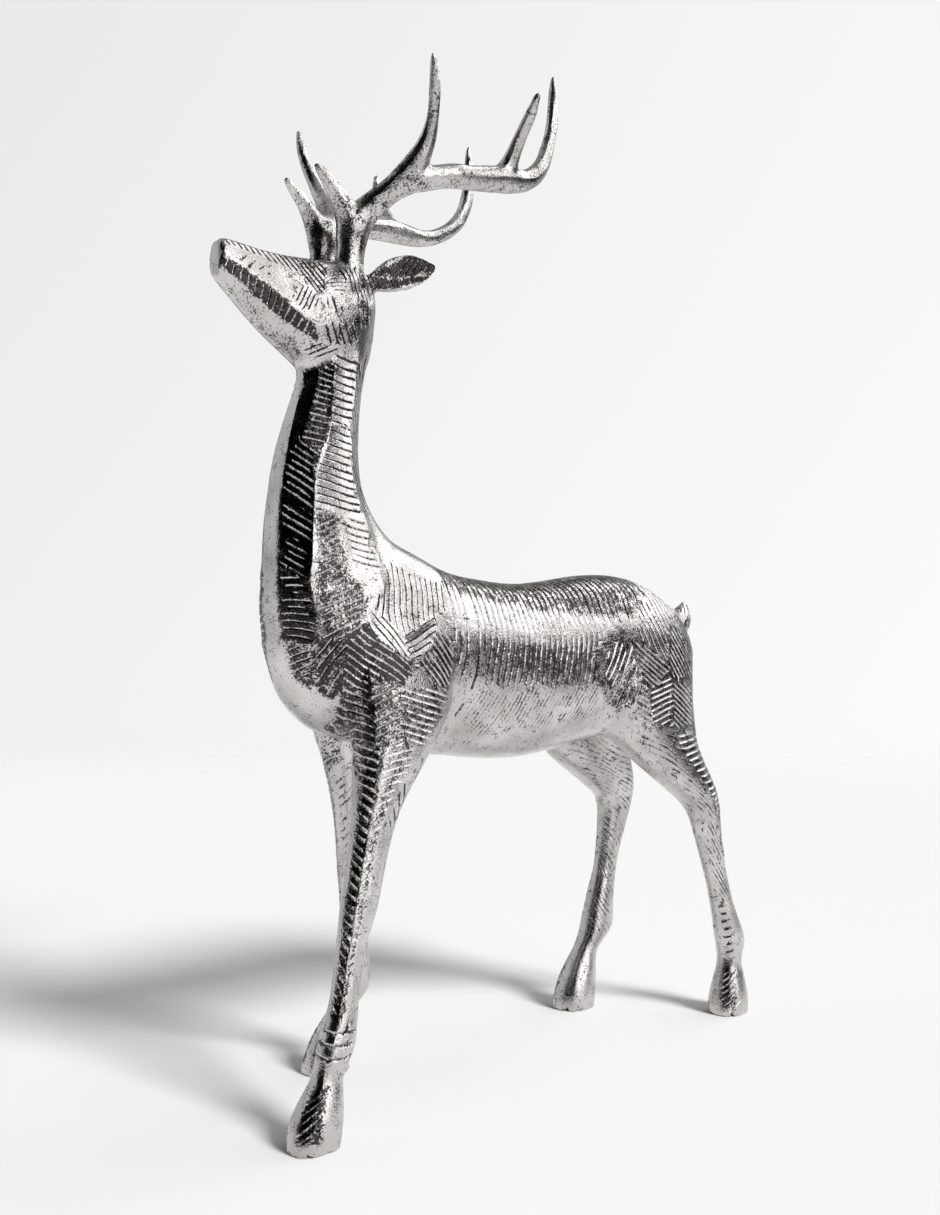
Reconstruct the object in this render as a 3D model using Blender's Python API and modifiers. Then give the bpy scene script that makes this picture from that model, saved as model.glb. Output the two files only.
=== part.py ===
"""A standing reindeer figurine, sand cast in aluminium as one piece.

The animal faces -Y and its left side is +X. It stands on four flat hoof soles
at z = 0, with the middle of its box over the origin. Lengths are millimetres
of a figure MODELLED_HEIGHT tall, and UNIT turns each of them into metres of the
height that is wanted as its mesh is made.
"""

import math

import bmesh
import bpy
import numpy as np
from mathutils import Matrix, Vector

STANDING_HEIGHT = 503.0
MODELLED_HEIGHT = 503.0
UNIT = 0.001 * STANDING_HEIGHT / MODELLED_HEIGHT

# A trunk station is (y, top, underside, half width), from the chest to the rump.
TRUNK = [
    (-12, 222, 180, 14),
    (2, 241, 164, 25),
    (30, 255, 157, 32),
    (62, 244.5, 153, 34),
    (90, 241.5, 150, 33.5),
    (114, 240.7, 149, 32.5),
    (141, 244, 152, 32),
    (173, 249.5, 157, 33),
    (202, 250, 163, 33.5),
    (226, 242, 168, 31.5),
    (242, 230.5, 180, 26.5),
    (251, 221, 191, 19),
    (256, 212, 198, 10),
]

# A station of the neck or of a leg is (x, y, z, half width, half depth), from its top down.
NECK = [
    (0, 5, 360, 12, 15),
    (0, 3, 348, 14.4, 19.6),
    (0, 0.8, 328, 13.6, 18.8),
    (0, -2.8, 311, 15, 20.8),
    (0, -5.8, 291, 16.9, 23.6),
    (0, -5.3, 271, 19.8, 27.5),
    (0, -1.6, 257, 23.5, 32.4),
    (0, 2.2, 243, 27.5, 36.4),
    (0, 6, 222, 31, 40),
    (0, 7, 200, 31, 37),
    (0, 8, 186, 27.5, 33.5),
    (0, 8, 174, 20.5, 25.5),
    (0, 8, 164, 10, 12),
]
LEFT_FORELEG = [
    (16, 34, 236, 9, 16),
    (20, 28, 210, 15, 29),
    (23, 25, 184, 16, 28),
    (26, 19, 161, 14, 21.5),
    (28.5, 9.5, 140.5, 10.5, 14.4),
    (30, 4, 127, 8.8, 10.9),
    (32, -3, 101.5, 7.8, 9.4),
    (33, -6.2, 89, 7.2, 8.8),
    (34, -10.5, 76, 6.1, 7.3),
    (35.5, -15.3, 54, 5.9, 7),
    (36.5, -19.7, 38, 7.6, 9.2),
    (37, -24.3, 26.5, 6.1, 7.2),
    (37.4, -28, 17, 8.9, 10.6),
    (37.8, -30.8, 8, 10.3, 12.2),
    (38, -31.6, 0, 10, 11.8),
]
RIGHT_FORELEG = [
    (-16, 40, 236, 9, 16),
    (-20, 34, 210, 15, 27),
    (-23.5, 30, 184, 15, 23),
    (-27, 28.5, 162, 11.5, 14),
    (-28.6, 32.5, 146, 9.3, 10.8),
    (-30.5, 37.2, 120, 7.8, 9.1),
    (-33, 40.6, 89, 6.9, 8),
    (-35, 43.4, 58.5, 6, 7),
    (-36.4, 45, 39, 7, 8.6),
    (-36.9, 37, 28, 6, 7),
    (-37.2, 31, 20.5, 6.9, 8.2),
    (-37.5, 28.8, 11, 9.2, 10.8),
    (-38, 28.3, 0, 11, 12.8),
]
LEFT_HIND_LEG = [
    (15, 207, 230, 13, 31),
    (18.4, 202.8, 206, 16.4, 42.8),
    (21.2, 200, 185, 16.8, 40.8),
    (23.5, 202, 168, 15.4, 38),
    (25.3, 208.5, 155, 13.6, 32),
    (27.2, 219.5, 142.5, 12, 26),
    (29, 233.5, 129.4, 10.8, 19.4),
    (30, 243.6, 117, 9, 12.4),
    (30.8, 247.8, 98, 7.3, 8.7),
    (31.5, 253, 79, 6.5, 7.5),
    (32.3, 258.5, 60, 6.9, 8),
    (33, 264, 41, 8.4, 9.9),
    (33.3, 262.7, 28.7, 6.6, 7.8),
    (33.6, 261.3, 15, 9.7, 11.5),
    (34, 260, 5, 10.9, 12.8),
    (34, 259.6, 0, 10.6, 12.4),
]
RIGHT_HIND_LEG = [
    (-15, 208, 230, 13, 32),
    (-18.6, 203, 206, 17, 44.5),
    (-21.4, 198, 185, 17, 43.5),
    (-24, 198, 170, 15, 40),
    (-25.5, 203, 158, 13.8, 38),
    (-27, 213.5, 144, 12, 31.4),
    (-28.7, 227, 132, 11, 23),
    (-30, 236.2, 119.5, 9.4, 13.3),
    (-30.6, 234.4, 105, 8, 9.9),
    (-31.5, 229, 80.5, 6.5, 7.8),
    (-32.4, 223.4, 55.5, 8.3, 9.9),
    (-32.9, 221.6, 43.5, 9.2, 11),
    (-33.2, 212, 31.7, 6.9, 8.2),
    (-33.5, 206.5, 20, 9.6, 11.5),
    (-33.8, 203.4, 8, 11.4, 13.6),
    (-34, 202.3, 0, 11.2, 13.2),
]

# A head station is y, then six corners (x, z) of its left half:
# crown, brow edge, cheek edge, jaw edge, chin edge and throat.
HEAD = [
    (-61.8, (0, 381.8), (4.4, 381.2), (6.6, 376), (6.8, 369), (5, 364.4), (0, 363.2)),
    (-50, (0, 381.6), (4.8, 380.6), (8.5, 367), (8, 360), (4.5, 356), (0, 355.2)),
    (-41, (0, 380.8), (5.4, 379.7), (10.8, 361), (10, 354), (5, 348.6), (0, 347.6)),
    (-28, (0, 381.3), (6.6, 379.8), (13.8, 355), (12.6, 347.8), (6, 340.4), (0, 339.2)),
    (-14, (0, 383), (9, 380.8), (16, 352.5), (14.4, 344), (8, 333.6), (0, 332)),
    (0, (0, 385), (11, 382), (16.8, 360), (15, 345), (9, 333), (0, 331)),
    (12, (0, 384), (11, 380), (15.4, 364), (14, 350), (9, 338), (0, 336)),
    (20, (0, 379), (8, 376), (11.5, 366), (10, 354), (7, 345), (0, 343)),
]
BROW_CENTRE = (9.6, 0.5, 372.5)
BROW_RADII = (8.6, 9.5, 7.5)

# An antler point is (x, y, z, radius), from the root to the tip. The two antlers were
# modelled by hand and differ a little.
LEFT_ANTLER = {
    "stem": [
        (8.6, 4.4, 374, 7.6), (9, 5.2, 388, 7.4), (10, 6.4, 400, 8.4), (14.5, 11, 409, 7),
        (25, 18.2, 418.7, 6), (32.5, 23.6, 427.4, 6.2), (38.6, 26.6, 438, 4.5), (44.3, 25.6, 448.8, 3.2),
        (49, 22.6, 461.8, 2.9), (52.4, 18.7, 472, 1.5),
    ],
    "beam": [
        (24, 17, 416, 5), (31, 25, 421.5, 5.8), (37, 43.5, 427.6, 6.1), (37.5, 56, 430.2, 6.1),
        (37, 69, 434, 6.6), (36.5, 82, 437.3, 6.7), (36.5, 93, 440.4, 5.6), (37, 102, 447.4, 4.8),
        (37, 108, 458.4, 3.9), (37, 112.6, 475, 3.2), (37, 113.9, 491, 3), (37, 113.9, 501, 1.7),
    ],
    "back tine": [
        (37, 77, 437, 5.2), (43, 79, 448, 4), (47.5, 79, 454.6, 3.5), (54, 78.9, 462.1, 3.2),
        (61, 77.9, 470.4, 1.9),
    ],
    "brow tine": [
        (10.5, 4.4, 400, 6.4), (11, -1.6, 410.6, 5), (11, -7, 415.8, 3.9), (11, -12, 420.2, 3),
        (11, -15.4, 423, 2),
    ],
}
RIGHT_ANTLER = {
    "stem": [
        (-8.6, 2.6, 374, 7.6), (-9, 2.4, 390, 7), (-10, 3.4, 402, 7.8), (-14.5, 9, 409.5, 7),
        (-22, 15, 417.5, 5.8), (-34, 20.6, 429.6, 4.8), (-42, 20.8, 441.8, 3.9), (-46.5, 18.2, 453, 3.2),
        (-49.5, 16.8, 463, 2.7), (-52.2, 16.6, 472.6, 1.6),
    ],
    "beam": [
        (-22, 15, 415, 5), (-30, 26, 420.5, 5.4), (-36, 45, 425, 5.8), (-37, 60, 428, 6.1),
        (-37.2, 75.2, 429.5, 6), (-37, 88.5, 430.5, 4.7), (-37, 101.5, 436.6, 4.2),
        (-37, 113.8, 446.8, 4.1), (-37, 120.3, 459.9, 4), (-37, 122, 470, 3.5), (-37, 122.2, 484, 2.5),
        (-37, 122.2, 492.4, 1.7),
    ],
    "back tine": [
        (-38, 68, 430, 5), (-44, 67.5, 441, 3.4), (-55, 70.6, 455.7, 2.8), (-61, 74.6, 469, 1.8),
    ],
    "brow tine": [
        (-10.5, 2.4, 400, 6.4), (-11, -6, 413.2, 4), (-11, -12.2, 418.6, 3), (-11, -17.4, 423.4, 1.8),
    ],
}

# The ear is a leaf on a short stalk, hollowed along its midrib.
EAR_ROOT = (10, 9, 373)
EAR_TIP = (30, 42.6, 385.6)
EAR_BREADTH_ABOVE = 8.8
EAR_BREADTH_BELOW = 6.2
EAR_HALF_THICKNESS = 2.4
EAR_HOLLOW = 1.8
EAR_STALK_RADIUS = 3.4

# The tail is a short leaf that points up. Its points are given as an antler's are.
TAIL = [
    (0, 238, 213, 8.6), (0, 254, 220.5, 9), (0, 262.6, 226.5, 8.8), (0, 266.5, 232.5, 6.4), (0, 269, 238.5, 2.6),
]

# Planes cut on a rounded section are (degrees from its right-hand side, share planed off).
TRUNK_PLANES = [(20, 0.03), (160, 0.03), (-35, 0.03), (-145, 0.03)]
NECK_PLANES = [(-90, 0.06), (-48, 0.05), (-132, 0.05), (0, 0.05), (180, 0.05), (50, 0.03), (130, 0.03)]
LEFT_LEG_PLANES = [(0, 0.06), (-90, 0.06), (180, 0.04), (90, 0.04)]
RIGHT_LEG_PLANES = [(180, 0.06), (-90, 0.06), (0, 0.04), (90, 0.04)]
TRUNK_SQUARENESS = 2.25
NECK_SQUARENESS = 2.15
LEG_SQUARENESS = 2.2

RING_POINTS = 32
TINE_SIDES = 8
STEPS_BETWEEN_STATIONS = 6
TORSO_VOXEL = 2.5
TORSO_SMOOTHING_PASSES = 16
BODY_VOXEL = 2.0
BODY_SMOOTHING_PASSES = 7
SKIN_VOXEL = 1.25
SKIN_SMOOTHING_PASSES = 2
MOST_TRIANGLES = 9200
SOLE_OVERRUN = 4
FLOOR_SLAB = (400, 1200, 40)


def through(rows, steps=STEPS_BETWEEN_STATIONS):
    """A smooth Catmull-Rom run through rows of numbers."""
    rows = np.asarray(rows, float)
    padded = np.vstack([2 * rows[0] - rows[1], rows, 2 * rows[-1] - rows[-2]])
    run = []
    for before, start, end, after in zip(padded, padded[1:], padded[2:], padded[3:]):
        for t in np.arange(steps) / steps:
            straight = 2 * start + (end - before) * t
            bent = (2 * before - 5 * start + 4 * end - after) * t**2
            twisted = (3 * start - before - 3 * end + after) * t**3
            run.append(0.5 * (straight + bent + twisted))
    return np.array(run + [rows[-1]])


def rounded(half_u, half_v, squareness, planes):
    """Points round an oval with planes cut on it."""
    angle = np.linspace(0, 2 * math.pi, RING_POINTS, endpoint=False)
    corner = 2 / squareness
    u = half_u * np.sign(np.cos(angle)) * abs(np.cos(angle)) ** corner
    v = half_v * np.sign(np.sin(angle)) * abs(np.sin(angle)) ** corner
    for degrees, share in planes:
        along_u, along_v = math.cos(math.radians(degrees)), math.sin(math.radians(degrees))
        reach = u * along_u + v * along_v
        over = np.maximum(reach - reach.max() * (1 - share), 0)
        u, v = u - over * along_u, v - over * along_v
    return u, v


def add_tube(mesh, rings):
    """Adds a closed tube through rings, which all have as many points."""
    corners = [[mesh.verts.new(Vector(point) * UNIT) for point in ring] for ring in rings]
    count = len(corners[0])
    for one, two in zip(corners, corners[1:]):
        for i in range(count):
            j = (i + 1) % count
            mesh.faces.new((one[i], one[j], two[j], two[i]))
    mesh.faces.new(corners[0][::-1])
    mesh.faces.new(corners[-1])


def add_trunk(mesh):
    rings = []
    for y, top, underside, half_width in through(TRUNK):
        across, up = rounded(half_width, (top - underside) / 2, TRUNK_SQUARENESS, TRUNK_PLANES)
        middle = (top + underside) / 2
        rings.append([(u, y, middle + v) for u, v in zip(across, up)])
    add_tube(mesh, rings)


def add_column(mesh, stations, squareness, planes):
    """A neck or a leg, whose rings are level."""
    rings = []
    for x, y, z, half_width, half_depth in through(stations):
        across, back = rounded(half_width, half_depth, squareness, planes)
        rings.append([(x + u, y + v, z) for u, v in zip(across, back)])
    add_tube(mesh, rings)


def add_neck(mesh):
    """A flat throat, then planes that turn to the side and to the nape."""
    add_column(mesh, NECK, NECK_SQUARENESS, NECK_PLANES)


def add_leg(mesh, stations):
    """A leg, which runs on below the floor so that its sole can be cut flat."""
    x, y, z, half_width, half_depth = stations[-1]
    below = (x, y, z - SOLE_OVERRUN, half_width, half_depth)
    planes = LEFT_LEG_PLANES if x > 0 else RIGHT_LEG_PLANES
    add_column(mesh, stations + [below], LEG_SQUARENESS, planes)


def add_head(mesh):
    numbers = [[y] + [value for corner in corners for value in corner] for y, *corners in HEAD]
    rings = []
    for row in through(numbers):
        left = [(x, row[0], z) for x, z in row[1:].reshape(-1, 2)]
        right = [(-x, y, z) for x, y, z in left[-2:0:-1]]
        rings.append(left + right)
    add_tube(mesh, rings)
    for side in (1, -1):
        place = Matrix.Translation(Vector((BROW_CENTRE[0] * side, *BROW_CENTRE[1:])) * UNIT)
        size = Matrix.Diagonal((*BROW_RADII, 1 / UNIT)) * UNIT
        bmesh.ops.create_uvsphere(mesh, u_segments=20, v_segments=12, radius=1, matrix=place @ size)


def add_ear(mesh, side):
    root, tip = Vector(EAR_ROOT), Vector(EAR_TIP)
    root.x *= side
    tip.x *= side
    along = (tip - root).normalized()
    breadth = (Vector((0, 0, 1)) - along * along.z).normalized()
    front = along.cross(breadth) * side
    rings = []
    for t in np.linspace(0, 1, 18):
        opened = max(0, (t - 0.14) / 0.86)
        leaf = math.sin(math.pi * opened**1.05) ** 0.75
        stalk = EAR_STALK_RADIUS * (1 - t) ** 1.5 + 0.4
        ring = []
        for angle in np.linspace(0, 2 * math.pi, 20, endpoint=False):
            a, b = math.cos(angle), math.sin(angle)
            half_breadth = stalk + leaf * (EAR_BREADTH_ABOVE if a > 0 else EAR_BREADTH_BELOW)
            thickness = (stalk + leaf * EAR_HALF_THICKNESS) * b
            dish = EAR_HOLLOW * leaf * (1 - a * a) if b > 0 else 0
            ring.append(root.lerp(tip, t) + breadth * half_breadth * a + front * (thickness - 2 * dish))
        rings.append(ring)
    add_tube(mesh, rings)


def add_tine(mesh, points):
    """A branch of an antler, or the tail, which tapers to a blunt tip."""
    run = through(points)
    centres = [Vector(row[:3]) for row in run]
    up = Vector((0, 1, 0))
    rings = []
    for i, row in enumerate(run):
        along = (centres[min(i + 1, len(run) - 1)] - centres[max(i - 1, 0)]).normalized()
        up = (up - along * up.dot(along)).normalized()
        across = along.cross(up)
        ring = [
            centres[i] + (up * math.cos(angle) + across * math.sin(angle)) * row[3]
            for angle in np.linspace(0, 2 * math.pi, TINE_SIDES, endpoint=False)
        ]
        rings.append(ring)
    tip = centres[-1] + along * run[-1][3]
    rings.append([tip + (point - centres[-1]) * 0.45 for point in rings[-1]])
    add_tube(mesh, rings)


def add_floor(mesh):
    """A slab under z = 0, wide enough for any stance."""
    place = Matrix.Translation((0, 0, -FLOOR_SLAB[2] / 2 * UNIT))
    bmesh.ops.create_cube(mesh, size=UNIT, matrix=place @ Matrix.Diagonal((*FLOOR_SLAB, 1)))


def new_object(name, collection, *fillings):
    """An object whose mesh is filled by functions, with its faces pointing out."""
    mesh = bmesh.new()
    for fill, *values in fillings:
        fill(mesh, *values)
    bmesh.ops.recalc_face_normals(mesh, faces=mesh.faces)
    data = bpy.data.meshes.new(name)
    mesh.to_mesh(data)
    mesh.free()
    made = bpy.data.objects.new(name, data)
    collection.objects.link(made)
    return made


def settle(target):
    """Turns an object with modifiers into the plain mesh that they make."""
    bpy.context.view_layer.update()
    graph = bpy.context.evaluated_depsgraph_get()
    made = bpy.data.meshes.new_from_object(target.evaluated_get(graph))
    target.modifiers.clear()
    target.data = made


def even_out(target, voxel, smoothing):
    net = target.modifiers.new("Even skin", "REMESH")
    net.mode = "VOXEL"
    net.voxel_size = voxel * UNIT
    soft = target.modifiers.new("Soften", "SMOOTH")
    soft.factor = 0.5
    soft.iterations = smoothing
    settle(target)


def join(target, other):
    both = bmesh.new()
    both.from_mesh(target.data)
    both.from_mesh(other.data)
    both.to_mesh(target.data)
    both.free()
    bpy.data.objects.remove(other)


def cast_aluminium():
    made = bpy.data.materials.new("cast aluminium")
    made.use_nodes = True
    shader = made.node_tree.nodes["Principled BSDF"]
    shader.inputs["Base Color"].default_value = (0.62, 0.60, 0.58, 1)
    shader.inputs["Metallic"].default_value = 1
    shader.inputs["Roughness"].default_value = 0.32
    return made


for leftover in list(bpy.data.objects):
    bpy.data.objects.remove(leftover, do_unlink=True)

figure = bpy.data.collections.new("reindeer figurine")
helpers = bpy.data.collections.new("helpers")
bpy.context.scene.collection.children.link(figure)
bpy.context.scene.collection.children.link(helpers)

torso = new_object("torso", helpers, (add_trunk,), (add_neck,))
even_out(torso, TORSO_VOXEL, TORSO_SMOOTHING_PASSES)

legs = [(add_leg, leg) for leg in (LEFT_FORELEG, RIGHT_FORELEG, LEFT_HIND_LEG, RIGHT_HIND_LEG)]
body = new_object("body", helpers, (add_head,), (add_tine, TAIL), *legs)
join(body, torso)
even_out(body, BODY_VOXEL, BODY_SMOOTHING_PASSES)

tines = [(add_tine, points) for antler in (LEFT_ANTLER, RIGHT_ANTLER) for points in antler.values()]
reindeer = new_object("reindeer", figure, (add_ear, 1), (add_ear, -1), *tines)
join(reindeer, body)
even_out(reindeer, SKIN_VOXEL, SKIN_SMOOTHING_PASSES)

fewer = reindeer.modifiers.new("Fewer faces", "DECIMATE")
fewer.ratio = MOST_TRIANGLES / sum(len(face.vertices) - 2 for face in reindeer.data.polygons)
floor = new_object("floor cutter", helpers, (add_floor,))
floor.hide_render = True
floor.display_type = "WIRE"
soles = reindeer.modifiers.new("Flat soles", "BOOLEAN")
soles.operation = "DIFFERENCE"
soles.object = floor
settle(reindeer)

corners = np.array([vertex.co for vertex in reindeer.data.vertices])
middle = (corners.min(0) + corners.max(0)) / 2
reindeer.data.transform(Matrix.Translation((-middle[0], -middle[1], 0)))
reindeer.data.materials.append(cast_aluminium())
reindeer.data.shade_smooth()
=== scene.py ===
"""The looks of a standing reindeer figurine, sand cast in aluminium and chased by hand.

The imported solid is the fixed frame. The animal faces -Y and its left side is +X.
Surfaces are worked in millimetres and turned into metres when their mesh is made.
"""

import math

import bmesh
import bpy
import mathutils
import numpy as np
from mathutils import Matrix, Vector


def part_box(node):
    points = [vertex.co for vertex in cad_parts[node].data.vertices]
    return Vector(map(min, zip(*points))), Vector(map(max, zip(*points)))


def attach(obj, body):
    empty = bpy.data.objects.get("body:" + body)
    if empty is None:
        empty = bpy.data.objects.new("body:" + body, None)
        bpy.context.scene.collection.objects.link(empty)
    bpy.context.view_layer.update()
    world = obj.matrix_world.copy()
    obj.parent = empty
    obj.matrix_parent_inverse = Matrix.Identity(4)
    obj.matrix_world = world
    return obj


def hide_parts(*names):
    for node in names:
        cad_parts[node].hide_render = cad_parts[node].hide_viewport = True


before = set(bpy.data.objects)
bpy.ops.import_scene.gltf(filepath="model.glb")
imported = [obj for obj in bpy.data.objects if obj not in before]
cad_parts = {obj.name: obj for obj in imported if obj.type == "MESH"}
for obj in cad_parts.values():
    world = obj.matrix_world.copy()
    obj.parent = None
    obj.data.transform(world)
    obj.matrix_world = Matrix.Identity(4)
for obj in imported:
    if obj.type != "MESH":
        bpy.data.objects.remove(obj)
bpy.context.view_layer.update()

# The skin of the casting
# The whole animal is one casting, so it is one piece here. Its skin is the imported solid,
# merged and rounded, and is held as arrays while the chisel work is laid on it.

MM = 1000.0
ROUNDING_PASSES = 3
ANTLERS_FROM_Z = 392.0
ANTLERS_BLEND_IN = 6
ANTLER_FULLNESS = 0.35

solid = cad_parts["reindeer"]
rough_skin = bpy.data.objects.new("rough skin", solid.data.copy())
bpy.context.scene.collection.objects.link(rough_skin)
joined = bmesh.new()
joined.from_mesh(rough_skin.data)
bmesh.ops.remove_doubles(joined, verts=joined.verts, dist=1e-6)
joined.to_mesh(rough_skin.data)
joined.free()
below_antlers = rough_skin.vertex_groups.new(name="below the antlers")
low_points = [point.index for point in rough_skin.data.vertices if point.co.z < ANTLERS_FROM_Z / MM]
below_antlers.add(low_points, 1.0, "ADD")
rounding = rough_skin.modifiers.new("Round", "SUBSURF")
rounding.levels = rounding.render_levels = 1
evening = rough_skin.modifiers.new("Even", "SMOOTH")
evening.factor = 0.5
evening.iterations = ROUNDING_PASSES
evening.vertex_group = below_antlers.name
rough_skin.modifiers.new("Triangles", "TRIANGULATE")


def plain_mesh(worked):
    """The mesh that an object's modifiers make."""
    bpy.context.view_layer.update()
    graph = bpy.context.evaluated_depsgraph_get()
    return bpy.data.meshes.new_from_object(worked.evaluated_get(graph))


def read_points(mesh):
    """In millimetres."""
    found = np.empty(len(mesh.vertices) * 3, np.float32)
    mesh.vertices.foreach_get("co", found)
    return found.reshape(-1, 3).astype(float) * MM


def read_triangles(mesh):
    found = np.empty(len(mesh.polygons) * 3, np.int32)
    mesh.polygons.foreach_get("vertices", found)
    return found.reshape(-1, 3)


def point_normals(points, triangles):
    """The mean direction of the faces round each point, by their area."""
    a, b, c = (points[triangles[:, i]] for i in range(3))
    across = np.cross(b - a, c - a)
    found = np.zeros_like(points)
    for i in range(3):
        np.add.at(found, triangles[:, i], across)
    return found / np.maximum(np.linalg.norm(found, axis=1), 1e-9)[:, None]


rounded_mesh = plain_mesh(rough_skin)
points = read_points(rounded_mesh)
triangles = read_triangles(rounded_mesh)
bpy.data.objects.remove(rough_skin)
bpy.data.meshes.remove(rounded_mesh)
normals = point_normals(points, triangles)
# Rounding thins the antlers, so they are made a little fuller.
antler_share = np.clip((points[:, 2] - ANTLERS_FROM_Z) / ANTLERS_BLEND_IN, 0, 1)
points += normals * (ANTLER_FULLNESS * antler_share)[:, None]

# The neck's planes
# The neck was planed into long columns that meet at a fold in front of its side, at one
# behind it, and at a ridge down the nape. The folds wander as they go down.

NECK_MIDDLE_Y = -108.0
THROAT_FOLD = 12
PLANED_SHARE = 0.85
PLANED_FROM_Z = 205
PLANED_TO_Z = 343
PLANED_BEFORE_Y = -75
CHEST_BLEND = 40
JAW_BLEND = 12
WITHERS_BLEND = 15
FOLD_HEIGHTS = (185, 229, 256, 283, 303, 337)
FRONT_FOLD = (56, 43, 45, 45, 64, 77)
REAR_FOLD = (120, 116, 114, 104, 112, 131)


def neck_angle(where):
    """Degrees round the neck, from the throat at 0 by either side to the nape at 180."""
    return np.degrees(np.arctan2(abs(where[:, 0]), NECK_MIDDLE_Y - where[:, 1]))


angle = neck_angle(points)
folds = np.stack(
    [
        np.full(len(points), -THROAT_FOLD),
        np.full(len(points), THROAT_FOLD),
        np.interp(points[:, 2], FOLD_HEIGHTS, FRONT_FOLD),
        np.interp(points[:, 2], FOLD_HEIGHTS, REAR_FOLD),
        np.full(len(points), 180),
    ]
)
flatness = np.ones(len(points))
for start, end in zip(folds, folds[1:]):
    between = (angle >= start) & (angle <= end)
    half, off = np.radians(end - start) / 2, np.radians(angle - (start + end) / 2)
    flatness = np.where(between, np.cos(half) / np.cos(off), flatness)
neck_share = np.clip((points[:, 2] - PLANED_FROM_Z) / CHEST_BLEND, 0, 1)
neck_share *= np.clip((PLANED_TO_Z - points[:, 2]) / JAW_BLEND, 0, 1)
neck_share *= np.clip((PLANED_BEFORE_Y - points[:, 1]) / WITHERS_BLEND, 0, 1)
shrink = 1 + (flatness - 1) * PLANED_SHARE * neck_share
points[:, 0] *= shrink
points[:, 1] = NECK_MIDDLE_Y + (points[:, 1] - NECK_MIDDLE_Y) * shrink

# Cutting the skin into patches and strokes
# The chaser planed the casting into patches and cut each with rows of parallel strokes.
# Inside each patch the skin is cut along the lips and the bed of each stroke: strokes are
# numbered across the patch, and a lip is STROKE_SHARE of the pitch from its bed.

STROKE_SHARE = 0.21
SHIFTS = (-STROKE_SHARE, 0.0, STROKE_SHARE)
SNAP_TO_STROKE = 0.05
MOST_CUTTING_PASSES = 9
RANDOM = np.random.default_rng(7)
LUCK = RANDOM.random(4096)


def luck(number, draw):
    """A random share that stays the same for a numbered stroke."""
    return LUCK[(np.round(number).astype(int) * 7 + draw * 131) % len(LUCK)]


WAVES = RANDOM.normal(size=(10, 3))
WAVE_STARTS = RANDOM.random(10) * 2 * math.pi


def unevenness(where, size):
    """A soft wandering value from about -1 to 1, that changes over size millimetres."""
    turns = where @ (WAVES.T * (1.6 / size)) + WAVE_STARTS
    return np.sin(turns).sum(1) / 3.2


def smooth_step(value):
    value = np.clip(value, 0, 1)
    return value * value * (3 - 2 * value)


def nearest_level(value, shifts):
    """The nearest of the whole numbers moved by each shift."""
    levels = np.stack([np.round(value - shift) + shift for shift in shifts])
    pick = abs(levels - value).argmin(0)
    return np.take_along_axis(levels, pick[None], 0)[0]


def turned(rows, by):
    return rows[np.arange(len(rows))[:, None], (np.arange(3) + by[:, None]) % 3]


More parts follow.
